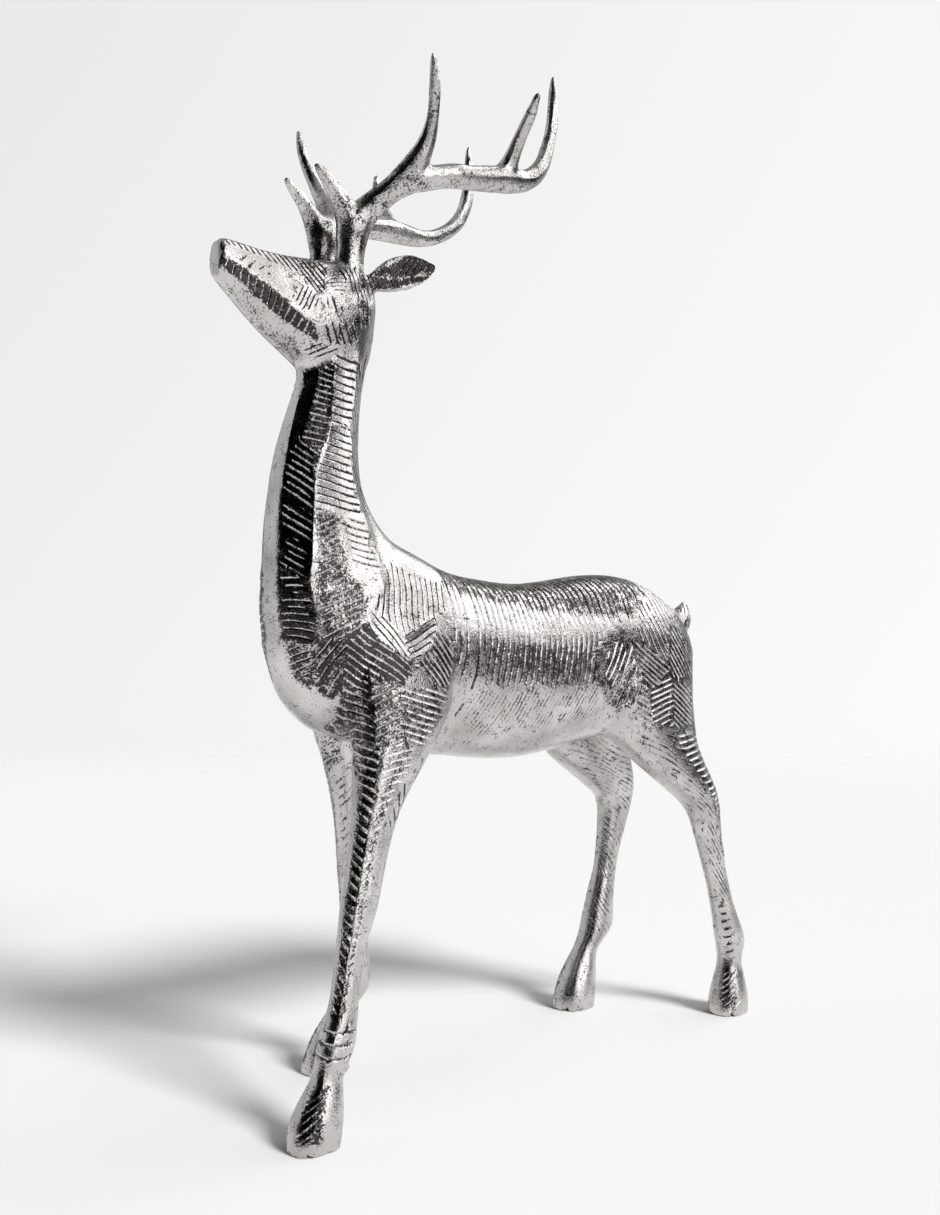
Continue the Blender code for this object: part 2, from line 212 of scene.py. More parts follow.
def cut_once(points, triangles, values, owner, shifts):
    """Cuts each edge at most once, where its values pass the level nearest to its middle.
    values has a number for each corner of each triangle, and owner one for each triangle."""
    after = np.roll(values, -1, 1)
    share = np.full(values.shape, np.nan)
    for shift in shifts:
        level = np.round((values + after) / 2 - shift) + shift
        with np.errstate(divide="ignore", invalid="ignore"):
            at = (level - values) / (after - values)
        good = (at > 1e-4) & (at < 1 - 1e-4) & np.isfinite(at)
        good &= ~(abs(share - 0.5) <= abs(at - 0.5))
        share[good] = at[good]
    ends = np.stack([triangles, np.roll(triangles, -1, 1)], 2)
    # An edge is named by its lower point and its higher one, and is cut at one place only,
    # for both of its triangles: the cut that lies nearest to its middle.
    backward = ends[..., 0] > ends[..., 1]
    ends.sort(2)
    key = ends[..., 0] * np.int64(len(points)) + ends[..., 1]
    edge_keys, edge = np.unique(key, return_inverse=True)
    edge = edge.reshape(key.shape)
    along_edge = np.where(backward, 1 - share, share)
    crossed = np.flatnonzero(~np.isnan(share.ravel()))
    if not len(crossed):
        return points, triangles, values, owner, False
    crossed = crossed[np.argsort(abs(along_edge.ravel()[crossed] - 0.5), kind="stable")]
    cut_edges, first = np.unique(edge.ravel()[crossed], return_index=True)
    cut_at = along_edge.ravel()[crossed][first]
    low, high = np.divmod(edge_keys[cut_edges], len(points))
    new_points = points[low] + (points[high] - points[low]) * cut_at[:, None]
    number = np.full(len(edge_keys), -1)
    number[cut_edges] = len(points) + np.arange(len(cut_edges))
    place = np.full(len(edge_keys), np.nan)
    place[cut_edges] = cut_at
    middle = number[edge]
    at = np.where(backward, 1 - place[edge], place[edge])
    middle_value = values + (after - values) * at
    level = nearest_level(middle_value, shifts)
    middle_value = np.where(abs(level - middle_value) < 1e-4, level, middle_value)

    # Each triangle is then split by how many of its sides are cut.
    count = (middle >= 0).sum(1)
    made = [(triangles[count == 0], values[count == 0], owner[count == 0])]

    def add(rows, *corners):
        new_triangles, new_values = (np.stack([c[i] for c in corners], 1) for i in range(2))
        made.append((new_triangles, new_values, owner[rows]))

    for split_sides in (1, 2, 3):
        rows = np.flatnonzero(count == split_sides)
        if not len(rows):
            continue
        has = middle[rows] >= 0
        by = {1: has.argmax(1), 2: (has.argmin(1) + 1) % 3, 3: np.zeros(len(rows), int)}[split_sides]
        c, v = turned(triangles[rows], by), turned(values[rows], by)
        m, w = turned(middle[rows], by), turned(middle_value[rows], by)
        corner = [(c[:, i], v[:, i]) for i in range(3)]
        mid = [(m[:, i], w[:, i]) for i in range(3)]
        if split_sides == 1:
            add(rows, corner[0], mid[0], corner[2])
            add(rows, mid[0], corner[1], corner[2])
        elif split_sides == 2:
            add(rows, mid[0], corner[1], mid[1])
            add(rows, corner[0], mid[0], mid[1])
            add(rows, corner[0], mid[1], corner[2])
        else:
            add(rows, corner[0], mid[0], mid[2])
            add(rows, mid[0], corner[1], mid[1])
            add(rows, mid[2], mid[1], corner[2])
            add(rows, mid[0], mid[1], mid[2])
    points = np.vstack([points, new_points])
    triangles, values, owner = (np.concatenate(kind) for kind in zip(*made))
    return points, triangles, values, owner, True


def inside_distance(u, v, outline):
    """How far a place is inside an outline, and below zero how far outside."""
    corners = np.asarray(outline, float)
    nearest = np.full(len(u), 1e9)
    inside = np.zeros(len(u), bool)
    for (u0, v0), (u1, v1) in zip(corners, np.roll(corners, -1, 0)):
        du, dv = u1 - u0, v1 - v0
        share = np.clip(((u - u0) * du + (v - v0) * dv) / (du * du + dv * dv), 0, 1)
        nearest = np.minimum(nearest, np.hypot(u - u0 - share * du, v - v0 - share * dv))
        passes = (v0 > v) != (v1 > v)
        inside ^= passes & (u < u0 + (v - v0) * du / (dv if dv else 1))
    return np.where(inside, nearest, -nearest)


# Where the chisel went
# Each patch is an outline on a chart of its part of the body, with the slope of its
# strokes in degrees up from the chart's first direction, and their pitch in millimetres.

NECK_MM_PER_DEGREE = 0.32
TRUNK_AXIS_Z = 197.0
TRUNK_MM_PER_DEGREE = 0.68
LEG_MM_PER_DEGREE = 0.16
LEG_TOP = 172.0
LEG_STEP = 8.0
LEG_LEVELS = np.arange(LEG_STEP, LEG_TOP, LEG_STEP)
BODY_JOINS_FROM_Z = 148
LEG_CLEAR_FROM_Y = 60
LEGS_FROM_Y = 20
NECK_BEFORE_Y = -58
TRUNK_FROM_Z = 152
TRUNK_TO_Z = 270
TAIL_FROM_Y = 150
EVERYWHERE = 100.0


# A chart gives each point's two directions on it, and how far inside its part the point is.
def flank_chart(from_x):
    """Seen from the side, on both halves, with the middle left out as far as from_x."""

    def chart(where):
        return where[:, 1], where[:, 2], abs(where[:, 0]) - from_x

    return chart


side_chart = flank_chart(5)
head_chart = flank_chart(1.5)
ear_chart = flank_chart(14)


def tail_chart(where):
    return where[:, 1], where[:, 2], where[:, 1] - TAIL_FROM_Y


def profile_chart(where):
    """Seen from the side, and right through."""
    return where[:, 1], where[:, 2], np.full(len(where), EVERYWHERE)


def neck_chart(where):
    """Round the neck from the throat at 0 to the nape, and up."""
    return neck_angle(where) * NECK_MM_PER_DEGREE, where[:, 2], NECK_BEFORE_Y - where[:, 1]


def trunk_chart(where):
    """Along the body, and round it from the back at 0 down to the belly."""
    angle = np.degrees(np.arctan2(abs(where[:, 0]), where[:, 2] - TRUNK_AXIS_Z))
    room = np.minimum(where[:, 2] - TRUNK_FROM_Z, TRUNK_TO_Z - where[:, 2])
    return where[:, 1], -angle * TRUNK_MM_PER_DEGREE, room


solid_points = read_points(solid.data)


def leg_centres(x_side, y_side):
    """The middle of a leg at each of LEG_LEVELS, from the solid."""
    own = solid_points[(solid_points[:, 0] * x_side > 0) & (solid_points[:, 1] * y_side > 0)]
    found = []
    for level in LEG_LEVELS:
        ring = own[abs(own[:, 2] - level) < LEG_STEP / 2]
        if level > BODY_JOINS_FROM_Z:
            ring = ring[ring[:, 1] * y_side > LEG_CLEAR_FROM_Y]
        found.append((ring.max(0) + ring.min(0))[:2] / 2)
    return np.array(found)


def leg_chart(x_side, y_side):
    """Round one leg from its front at 0, by its outer side, to its rear at 180, and up.
    Its inner side is below zero."""
    centres = leg_centres(x_side, y_side)

    def chart(where):
        x = np.interp(where[:, 2], LEG_LEVELS, centres[:, 0])
        y = np.interp(where[:, 2], LEG_LEVELS, centres[:, 1])
        out = (where[:, 0] - x) * x_side
        angle = np.degrees(np.arctan2(out, y - where[:, 1]))
        own = np.minimum(where[:, 0] * x_side, where[:, 1] * y_side - LEGS_FROM_Y)
        return angle * LEG_MM_PER_DEGREE, where[:, 2], np.minimum(own, LEG_TOP - where[:, 2])

    return chart


patches = []


def add_patch(
    chart, outline, slope, pitch=3.6, depth=0.42, ragged=2.0, bow=0.0, dish=0.25, heft=((0, 1),),
    shade_and_soot=0.8, painted_reflection_and_tarnish=0.0, crisp=False, fine=False,
):
    """Lists a patch. ragged is how far short of its edge a stroke may end, bow bends the
    strokes, and dish is how far the patch is planed down. heft has pairs of a distance along
    the strokes and the share of their depth there. soot is how dark the beds are, painted
    shade in the grooves together with real grime there, and tarnish how dark the ground
    between them, which can be such pairs too; that ground is mostly a painted dark reflection
    of the room, with some real oxide. Below zero paints the metal clean and bright, free of
    specks, and one and more is black. A crisp patch keeps its painted dark ground up to its
    edge. A fine patch has only scratches, or none, which are left to the material."""
    patches.append(
        {
            "chart": chart,
            "outline": outline,
            "slope": math.radians(slope),
            "pitch": pitch,
            "depth": depth,
            "ragged": ragged,
            "bow": bow,
            "dish": dish,
            "heft": heft,
            "shade_and_soot": shade_and_soot,
            "painted_reflection_and_tarnish": painted_reflection_and_tarnish if isinstance(painted_reflection_and_tarnish, tuple) else ((0, painted_reflection_and_tarnish),),
            "crisp": crisp,
            "fine": fine,
        }
    )


def degrees_up(mm_per_degree, *corners):
    """An outline given as (degrees round, height)."""
    return [(angle * mm_per_degree, height) for angle, height in corners]


def on_neck(*corners):
    return degrees_up(NECK_MM_PER_DEGREE, *corners)


def on_trunk(*corners):
    return [(y, -angle * TRUNK_MM_PER_DEGREE) for y, angle in corners]


def on_leg(*corners):
    return degrees_up(LEG_MM_PER_DEGREE, *corners)


# The trunk: long strokes run down from the back, over the flank and forward again under
# it. They are bold on the back and at their lower ends, and the belly's are faint.
add_patch(
    trunk_chart,
    on_trunk((-60, -16), (100, -16), (98, 40), (76, 62), (66, 70), (66, 116), (10, 134), (-54, 134),
        (-58, 60)),
    slope=-94, pitch=3.9, ragged=20, bow=0.0035, dish=0.1, depth=0.5, shade_and_soot=1.2,
    heft=((-34, 1.0), (-17, 0.9), (-12, 0.5), (4, 0.4), (10, 1.0), (20, 1.3), (40, 1.3)),
    # The ground between the strokes has painted dark bands of reflection, with a painted bright
    # strip between them.
    painted_reflection_and_tarnish=((-34, 0.6), (-16, 0.6), (-12, -0.35), (4, -0.4), (9, 0.36), (27, 0.4), (35, 0.0)),
)
add_patch(
    trunk_chart,
    on_trunk((76, 60), (80, 46), (94, 30), (98, -10), (146, -10), (150, 62), (112, 62), (104, 72),
        (102, 87), (88, 76)),
    slope=-64, pitch=3.7, ragged=3, dish=0.1, depth=0.45, shade_and_soot=1.3, painted_reflection_and_tarnish=-0.35,
)
add_patch(
    trunk_chart,
    on_trunk((-56, 108), (60, 104), (50, 140), (-40, 148)),
    slope=-116, pitch=2.6, shade_and_soot=0.62, dish=0.0, fine=True,
)

# The neck: a plain throat, a column cut from its rear edge, a column of level strokes,
# and a herringbone column down the nape.
# The front columns' ground is painted dark, a painted reflection of the room's dark side, and their
# beds are left bright.
add_patch(
    neck_chart,
    on_neck((12, 331), (42, 332), (26, 296), (12, 298)),
    slope=0, fine=True, shade_and_soot=0, painted_reflection_and_tarnish=0.8, crisp=True,
)
add_patch(
    neck_chart,
    on_neck((40, 332), (77, 334), (65, 303), (50, 290), (24, 296)),
    slope=-14, pitch=2.9, ragged=3, shade_and_soot=-0.3, painted_reflection_and_tarnish=0.95, crisp=True,
)
add_patch(
    neck_chart,
    on_neck((12, 298), (26, 296), (50, 290), (45, 283), (45, 262), (12, 270)),
    slope=-42, pitch=2.7, shade_and_soot=-0.2, painted_reflection_and_tarnish=1.0, depth=0.32, crisp=True,
)
add_patch(
    neck_chart,
    on_neck((12, 270), (45, 262), (43, 232), (12, 240)),
    slope=-40, pitch=2.8, ragged=4, shade_and_soot=-0.3, depth=0.3, painted_reflection_and_tarnish=1.1, crisp=True,
)
add_patch(
    neck_chart,
    on_neck((12, 240), (43, 232), (52, 204), (14, 206)),
    slope=-4, pitch=3.2, ragged=4, shade_and_soot=-0.3, bow=0.01, painted_reflection_and_tarnish=1.0, crisp=True,
)
add_patch(
    neck_chart,
    on_neck((13, 207), (53, 204), (52, 190), (40, 182), (19, 190)),
    slope=28, pitch=2.8, ragged=4, shade_and_soot=-0.2, painted_reflection_and_tarnish=0.8,
)
add_patch(
    neck_chart,
    on_neck((77, 338), (131, 338), (112, 305), (65, 304)),
    slope=-4, pitch=4.0, depth=0.5, shade_and_soot=2.0, ragged=1,
)
add_patch(
    neck_chart,
    on_neck((65, 304), (112, 305), (104, 284), (114, 262), (45, 264), (45, 283)),
    slope=-8, pitch=3.4, shade_and_soot=1.6, ragged=1,
)
add_patch(
    neck_chart,
    on_neck((45, 264), (76, 264), (86, 242), (104, 226), (100, 212), (80, 202), (53, 203),
        (43, 232)),
    slope=34, pitch=2.6, painted_reflection_and_tarnish=0.72, shade_and_soot=-0.3, ragged=6,
)
add_patch(
    neck_chart,
    on_neck((46, 207), (84, 208), (80, 184), (66, 178), (44, 184)),
    slope=62, pitch=2.6, painted_reflection_and_tarnish=0.95, shade_and_soot=-0.1, ragged=6,
)
add_patch(
    neck_chart,
    on_neck((76, 264), (114, 262), (128, 250), (112, 236), (88, 242)),
    slope=-16, pitch=3.2,
)
add_patch(
    neck_chart,
    on_neck((131, 340), (179, 340), (179, 276), (128, 260), (104, 284), (112, 304)),
    slope=-58, pitch=4.4, ragged=0.5, shade_and_soot=2.0, depth=0.6,
)

# The shoulder: a bright blade, a sunk block of bars, and bands that turn round them.
# The blade's ground is painted clean and bright, and the bands round it are painted dark, as painted
# reflections.
add_patch(
    side_chart,
    [(-88, 243), (-57, 235), (-56, 225), (-62, 219), (-88, 209), (-101, 222)],
    slope=82, pitch=3.1, depth=0.3, shade_and_soot=1.3, painted_reflection_and_tarnish=-0.4,
)
add_patch(
    side_chart,
    [(-104, 219), (-99, 222), (-88, 209), (-83, 198), (-88, 196), (-99, 206)],
    slope=-52, pitch=2.6, ragged=1, shade_and_soot=1.3, painted_reflection_and_tarnish=-0.3,
)
add_patch(
    side_chart,
    [(-89.5, 208.5), (-65, 220), (-69, 207), (-83, 197)],
    slope=24, pitch=2.5, depth=0.6, ragged=0.5, dish=0.6, shade_and_soot=1.3, painted_reflection_and_tarnish=-0.3,
)
add_patch(
    side_chart,
    [(-116, 206), (-104, 215), (-98, 206), (-84, 195), (-92, 186), (-115, 188)],
    slope=-34, pitch=3.0, painted_reflection_and_tarnish=1.2, shade_and_soot=-0.3, ragged=1, crisp=True,
)
add_patch(
    side_chart,
    [(-64, 218), (-57, 204), (-60, 186), (-72, 183), (-83, 196), (-70, 209)],
    slope=-50, pitch=2.9, painted_reflection_and_tarnish=0.6, shade_and_soot=-0.2,
)
add_patch(
    side_chart,
    [(-115, 191), (-105, 190), (-104, 160), (-110, 160)],
    slope=-32, pitch=3.1, depth=0.5, painted_reflection_and_tarnish=0.9, shade_and_soot=-0.3, ragged=1, crisp=True,
)
add_patch(
    side_chart,
    [(-105, 190), (-92, 189), (-90, 160), (-104, 160)],
    slope=26, pitch=3.1, depth=0.5, painted_reflection_and_tarnish=0.65, shade_and_soot=-0.4, ragged=1, crisp=True,
)
add_patch(
    side_chart,
    [(-93, 188), (-72, 186), (-60, 188), (-66, 172), (-80, 160), (-91, 160)],
    slope=-16, pitch=3.0, painted_reflection_and_tarnish=0.5, shade_and_soot=-0.1,
)

# The haunch: three columns that meet in chevrons, and long strokes round the rump.
# The columns' ground is painted dark, a painted reflection.
add_patch(
    side_chart,
    [(44, 206), (54, 216), (67, 222), (78, 217), (78, 192), (72, 176), (64, 171), (54, 178),
        (44, 192)],
    slope=66, shade_and_soot=0.0, painted_reflection_and_tarnish=0.6, fine=True,
)
add_patch(
    side_chart,
    [(52, 206), (66, 214), (77, 206), (76, 190), (70, 176), (60, 174), (51, 186)],
    slope=62, pitch=3.6, depth=0.4, ragged=6, painted_reflection_and_tarnish=0.7, shade_and_soot=-0.3,
)
add_patch(
    side_chart,
    [(74, 216), (103, 198), (103, 191), (83, 184), (77, 190)],
    slope=-33, pitch=2.9, depth=0.45, ragged=1, shade_and_soot=-0.45, painted_reflection_and_tarnish=0.5, crisp=True,
)
add_patch(
    side_chart,
    [(77, 191), (83, 185), (84, 166), (80, 160), (68, 168), (72, 178)],
    slope=-24, pitch=2.8, shade_and_soot=-0.45, painted_reflection_and_tarnish=0.45, ragged=1, crisp=True,
)
add_patch(
    side_chart,
    [(82, 185), (101, 195), (104, 190), (102, 164), (83, 165)],
    slope=16, pitch=3.0, shade_and_soot=-0.3, painted_reflection_and_tarnish=0.45, ragged=1, crisp=True,
)
add_patch(
    side_chart,
    [(103, 190), (126, 188), (124, 164), (101, 164)],
    slope=-30, pitch=2.8, depth=0.45, shade_and_soot=-0.3, painted_reflection_and_tarnish=0.45, ragged=1, crisp=True,
)
add_patch(
    side_chart,
    [(107, 218), (112, 223), (146, 203), (146, 190), (103, 191), (102, 199)],
    slope=-56, pitch=3.0, shade_and_soot=-0.3, painted_reflection_and_tarnish=0.65, crisp=True,
)
add_patch(
    side_chart,
    [(100, 163), (123, 163), (133, 146), (133, 138), (112, 148)],
    slope=-8, pitch=3.0, depth=0.45, shade_and_soot=-0.1, painted_reflection_and_tarnish=0.6,
)
add_patch(
    side_chart,
    [(84, 163), (99, 163), (104, 152), (94, 150)],
    slope=58, pitch=3.0, depth=0.2,
)

# The legs: chevrons down the forelegs' outer front edge, rungs down the hind legs' rear.
# The worked fronts and rears have a painted dark ground, a painted reflection.
for x_side in (1, -1):
    fore, hind = leg_chart(x_side, -1), leg_chart(x_side, 1)
    add_patch(
        fore,
        on_leg((2, 162), (44, 162), (44, 50), (8, 50)),
        slope=-34, pitch=3.4, depth=0.5, ragged=1, painted_reflection_and_tarnish=0.58, shade_and_soot=-0.3, crisp=True,
    )
    add_patch(
        fore,
        on_leg((44, 162), (90, 162), (80, 120), (68, 50), (44, 50)),
        slope=24, pitch=3.2, depth=0.45, ragged=1, shade_and_soot=-0.2, painted_reflection_and_tarnish=0.45,
    )
    add_patch(
        fore,
        on_leg((94, 158), (165, 158), (150, 118), (86, 122)),
        slope=-58, pitch=2.8, shade_and_soot=0.95, fine=True,
    )
    add_patch(
        fore,
        on_leg((-40, 46), (140, 46), (140, 33), (-40, 33)),
        slope=0, pitch=4.6, depth=0.6, ragged=0.5,
    )
    add_patch(
        hind,
        on_leg((70, 162), (112, 162), (128, 92), (100, 92)),
        slope=-20, pitch=3.0, shade_and_soot=0.3, painted_reflection_and_tarnish=0.6, fine=True,
    )
    add_patch(
        hind,
        on_leg((106, 162), (170, 162), (170, 92), (122, 92)),
        slope=18, pitch=3.2, depth=0.45, ragged=1, shade_and_soot=-0.4, painted_reflection_and_tarnish=0.55, crisp=True,
    )
    add_patch(
        hind,
        on_leg((112, 92), (168, 92), (168, 48), (112, 48)),
        slope=-14, pitch=3.7, depth=0.45, ragged=1.5,
    )
    add_patch(
        hind,
        on_leg((14, 110), (58, 110), (58, 30), (14, 30)),
        slope=10, pitch=4.4, depth=0.4, ragged=3,
    )
    for leg, painted_reflection_and_tarnish in ((fore, 0.95), (hind, 0.42)):
        add_patch(
            leg,
            on_leg((8, 24), (70, 26), (82, 4), (8, 4)),
            slope=38, pitch=2.8, depth=0.3, ragged=3, shade_and_soot=0.4, painted_reflection_and_tarnish=painted_reflection_and_tarnish,
        )

# The legs' plainer sides have scratches only.
for x_side in (1, -1):
    fore, hind = leg_chart(x_side, -1), leg_chart(x_side, 1)
    add_patch(
        hind,
        on_leg((20, 168), (68, 165), (100, 92), (108, 60), (20, 60)),
        slope=-62, pitch=2.9, shade_and_soot=0.8, dish=0.0, fine=True,
    )
    add_patch(
        fore,
        on_leg((-170, 160), (-8, 160), (-8, 50), (-170, 50)),
        slope=-40, pitch=3.1, shade_and_soot=0.6, dish=0.0, fine=True,
    )
    add_patch(
        hind,
        on_leg((-170, 160), (-8, 160), (-8, 40), (-170, 40)),
        slope=40, pitch=2.9, shade_and_soot=0.55, dish=0.0, fine=True,
    )

# The head: slanted strokes along the top, a painted dark band of reflection on the muzzle
# crossed by bright bars, and rows that turn round the brow, the cheek and the jaw. Each
# ear is a dark leaf.
add_patch(
    head_chart,
    [(-140, 372), (-128, 378), (-96, 380), (-93, 352), (-103, 345), (-120, 349), (-134, 357)],
    slope=0, shade_and_soot=0.0, painted_reflection_and_tarnish=0.24, fine=True,
)
add_patch(
    head_chart,
    [(-164.5, 381), (-122, 381), (-131, 371), (-137, 372.5), (-146, 375), (-164, 377)],
    slope=-56, pitch=2.4, depth=0.4, ragged=0.6, dish=0.1, shade_and_soot=1.1,
)
add_patch(
    head_chart,
    [(-128.5, 379), (-117, 380.5), (-115.5, 374.4), (-117.6, 363), (-122.8, 364.3), (-130, 371)],
    slope=-58, pitch=2.3, depth=0.55, ragged=0.8, shade_and_soot=1.3, painted_reflection_and_tarnish=0.4, crisp=True,
)
add_patch(
    head_chart,
    [(-115, 377), (-109, 376.5), (-104, 366), (-112, 363.2), (-116.7, 368.7)],
    slope=8, pitch=1.8, shade_and_soot=1.0, bow=0.03, dish=-0.5, painted_reflection_and_tarnish=0.1, fine=True,
)
add_patch(
    head_chart,
    [(-112, 377), (-104, 379), (-90, 379), (-90, 366), (-99, 364.5), (-106, 367)],
    slope=-67, pitch=2.6, depth=0.55, ragged=0.5, shade_and_soot=2.4, painted_reflection_and_tarnish=-0.1, crisp=True,
)
add_patch(
    head_chart,
    [(-136.3, 358.3), (-128.2, 369.5), (-122.5, 364), (-118.7, 360.5), (-122.6, 355),
        (-130.6, 353.5)],
    slope=60, pitch=2.0, depth=0.25, ragged=2, shade_and_soot=1.2, dish=0.1,
)
add_patch(
    head_chart,
    [(-162, 375), (-137, 372), (-131, 370.5), (-137, 359), (-147, 363.5), (-155, 368)],
    slope=50, pitch=4.1, depth=0.16, ragged=6, shade_and_soot=1.1, dish=0.2, painted_reflection_and_tarnish=-0.35,
)
add_patch(
    profile_chart,
    [(-170, 366), (-165, 363), (-158, 359), (-148.7, 352), (-139.5, 346), (-128.8, 341),
        (-122, 335), (-121, 329), (-142, 332), (-170, 350)],
    slope=0, shade_and_soot=0.0, painted_reflection_and_tarnish=0.36, fine=True,
)
add_patch(
    head_chart,
    [(-166, 372), (-163.7, 370.8), (-155, 366.9), (-147.9, 362.2), (-140.8, 358.8), (-133.5, 352.8),
        (-125.6, 348.6), (-119.3, 341.5), (-128.8, 344.1), (-139.5, 348.9), (-148.7, 355),
        (-158.4, 362.5), (-165, 366)],
    slope=80, pitch=3.4, depth=0.3, ragged=0.2, shade_and_soot=-0.1, painted_reflection_and_tarnish=1.3, dish=0.5, crisp=True,
)
add_patch(
    head_chart,
    [(-121, 348.5), (-115.3, 350.6), (-103.5, 352.5), (-98.4, 351), (-100, 343.2), (-117.4, 340.5)],
    slope=-58, pitch=3.6, depth=0.45, ragged=0.6, shade_and_soot=2.2, painted_reflection_and_tarnish=0.36,
)
add_patch(
    head_chart,
    [(-103, 364.5), (-92, 367), (-92, 355), (-99, 352.5)],
    slope=-78, pitch=3.0, depth=0.35, shade_and_soot=1.3, ragged=0.5, painted_reflection_and_tarnish=0.4,
)
add_patch(
    head_chart,
    [(-118, 363), (-112, 363.5), (-109, 356.5), (-115, 355)],
    slope=-74, pitch=3.2, depth=0.4, ragged=0.5, shade_and_soot=1.8, painted_reflection_and_tarnish=0.1,
)
add_patch(
    head_chart,
    [(-127.4, 339), (-119.5, 341.6), (-109.1, 341.3), (-111.8, 336.6), (-121.5, 334.3)],
    slope=30, pitch=2.2, depth=0.4, ragged=0.8, shade_and_soot=1.2,
)
add_patch(
    ear_chart,
    [(-98, 377), (-85, 383.6), (-77, 389.5), (-65, 391), (-60, 385), (-70, 381.5), (-80.4, 378.5)],
    slope=62, pitch=2.2, depth=0.3, ragged=2, shade_and_soot=0.25, painted_reflection_and_tarnish=1.15, dish=0.2, crisp=True,
)
add_patch(
    ear_chart,
    [(-98, 377), (-80.4, 377.8), (-70, 380.8), (-62, 384), (-68, 379), (-77, 375), (-86, 372.2),
        (-98, 371)],
    slope=-72, pitch=2.1, depth=0.3, ragged=2, shade_and_soot=0.4, painted_reflection_and_tarnish=1.15, dish=0.2, crisp=True,
)
add_patch(
    head_chart,
    [(-106, 384), (-104, 381.5), (-96, 380.5), (-93, 383), (-94, 386), (-106, 387.5)],
    slope=10, shade_and_soot=0.0, painted_reflection_and_tarnish=0.75, fine=True,
)

# The tail has short strokes, and the antlers are left as they were cast, a little darker
# at their roots.
add_patch(
    tail_chart,
    [(152, 240), (172, 240), (172, 216), (160, 216), (154, 226)],
    slope=64, pitch=2.3, depth=0.3, ragged=0.5, shade_and_soot=1.2,
)
add_patch(
    profile_chart,
    [(-130, 396), (-130, 515), (50, 515), (50, 396)],
    slope=0, shade_and_soot=0.0, painted_reflection_and_tarnish=0.13, fine=True,
)
add_patch(
    profile_chart,
    [(-114, 384), (-90, 384), (-84, 400), (-72, 418), (-92, 430), (-112, 420), (-116, 400)],
    slope=0, shade_and_soot=0.0, painted_reflection_and_tarnish=0.34, fine=True,
)

STROKE_WANDER = 0.16
WANDER_OVER = 9


def along_and_across(patch, where):
    """Distances along the patch's strokes and across them, from its middle."""
    u, v, _ = patch["chart"](where)
    c, s = math.cos(patch["slope"]), math.sin(patch["slope"])
    centre_u, centre_v = np.mean(patch["outline"], 0)
    along = (u - centre_u) * c + (v - centre_v) * s
    across = (v - centre_v) * c - (u - centre_u) * s
    return along, across + patch["bow"] * along**2


def depth_inside(patch, where):
    u, v, room = patch["chart"](where)
    return np.minimum(inside_distance(u, v, patch["outline"]), room)


def stroke_number(patch, where):
    """A running number of the strokes, whole in each stroke's bed."""
    across = along_and_across(patch, where)[1]
    return across / patch["pitch"] + STROKE_WANDER * unevenness(where, WANDER_OVER)


# A later patch lies over an earlier one.
owner = np.full(len(triangles), -1)
middles = points[triangles].mean(1)
for index, patch in enumerate(patches):
    owner[depth_inside(patch, middles) > 0] = index

numbers = np.full((len(triangles), 3), 0.5)
for index, patch in enumerate(patches):
    if patch["fine"]:
        continue
    rows = np.flatnonzero(owner == index)
    value = stroke_number(patch, points[triangles[rows]].reshape(-1, 3))
    level = nearest_level(value, SHIFTS)
    value = np.where(abs(value - level) < SNAP_TO_STROKE, level, value)
    numbers[rows] = value.reshape(-1, 3)
for _ in range(MOST_CUTTING_PASSES):
    points, triangles, numbers, owner, more = cut_once(points, triangles, numbers, owner, SHIFTS)
    if not more:
        break

# Sinking the strokes
# Each stroke's bed goes down into the metal, deepest in its middle and running out
# before the patch's edge, and each patch is planed a little hollow. The painted dark ground,
# mostly a painted dark reflection with some real oxide, is laid patch by patch, and the
# beds' painted shade and grime after it.

EDGE_SOFTNESS = 2.5
HOLLOW_SOFTNESS = 3.5
CRISP_REACH = 0.5
# How far the edge of the painted dark ground wanders along the strokes, and over what size.
PAINTED_DARK_WANDER = 1.5
PAINTED_DARK_WANDER_OVER = 11
RUN_OUT = 0.8
LIGHTEST_STROKE = 0.65
FULL_BED = 1.4
# The metal is never quite even: size, shift and height of each wave on it.
HAND_WAVES = ((14, 0, 0.10), (5, 50, 0.04))
MOST_TRIANGLES = 196000
SHARP_FROM = 17

normals = point_normals(points, triangles)
sunk = np.zeros(len(points))
planed = np.zeros(len(points))
darkness = np.zeros(len(points))
beds = []
for index, patch in enumerate(patches):
    rows = np.flatnonzero(owner == index)
    used = np.unique(triangles[rows])
    inside = depth_inside(patch, points[used])
    planed[used] = np.maximum(planed[used], patch["dish"] * smooth_step(inside / HOLLOW_SOFTNESS))
    all_inside = depth_inside(patch, points)
    near = np.flatnonzero(all_inside > -CRISP_REACH)
    inside = all_inside[near]
    share = smooth_step(inside + CRISP_REACH if patch["crisp"] else inside / EDGE_SOFTNESS)
    along = along_and_across(patch, points[near])[0]
    along = along + PAINTED_DARK_WANDER * unevenness(points[near], PAINTED_DARK_WANDER_OVER)
    darkness[near] += (np.interp(along, *zip(*patch["painted_reflection_and_tarnish"])) - darkness[near]) * share
    if patch["fine"]:
        continue
    corner_points = triangles[rows].ravel()
    corner_numbers = numbers[rows].ravel()
    bed = abs(corner_numbers - np.round(corner_numbers)) < 1e-3
    at, stroke = corner_points[bed], corner_numbers[bed]
    trimmed = patch["ragged"] * luck(stroke, index + 1) ** 2
    mask = smooth_step((depth_inside(patch, points[at]) - trimmed) / RUN_OUT)
    strength = LIGHTEST_STROKE + (1 - LIGHTEST_STROKE) * luck(stroke, index + 9)
    strength *= np.interp(along_and_across(patch, points[at])[0], *zip(*patch["heft"]))
    sunk[at] = np.maximum(sunk[at], patch["depth"] * strength * mask)
    beds.append((at, patch["shade_and_soot"], np.clip(strength * mask * FULL_BED, 0, 1)))
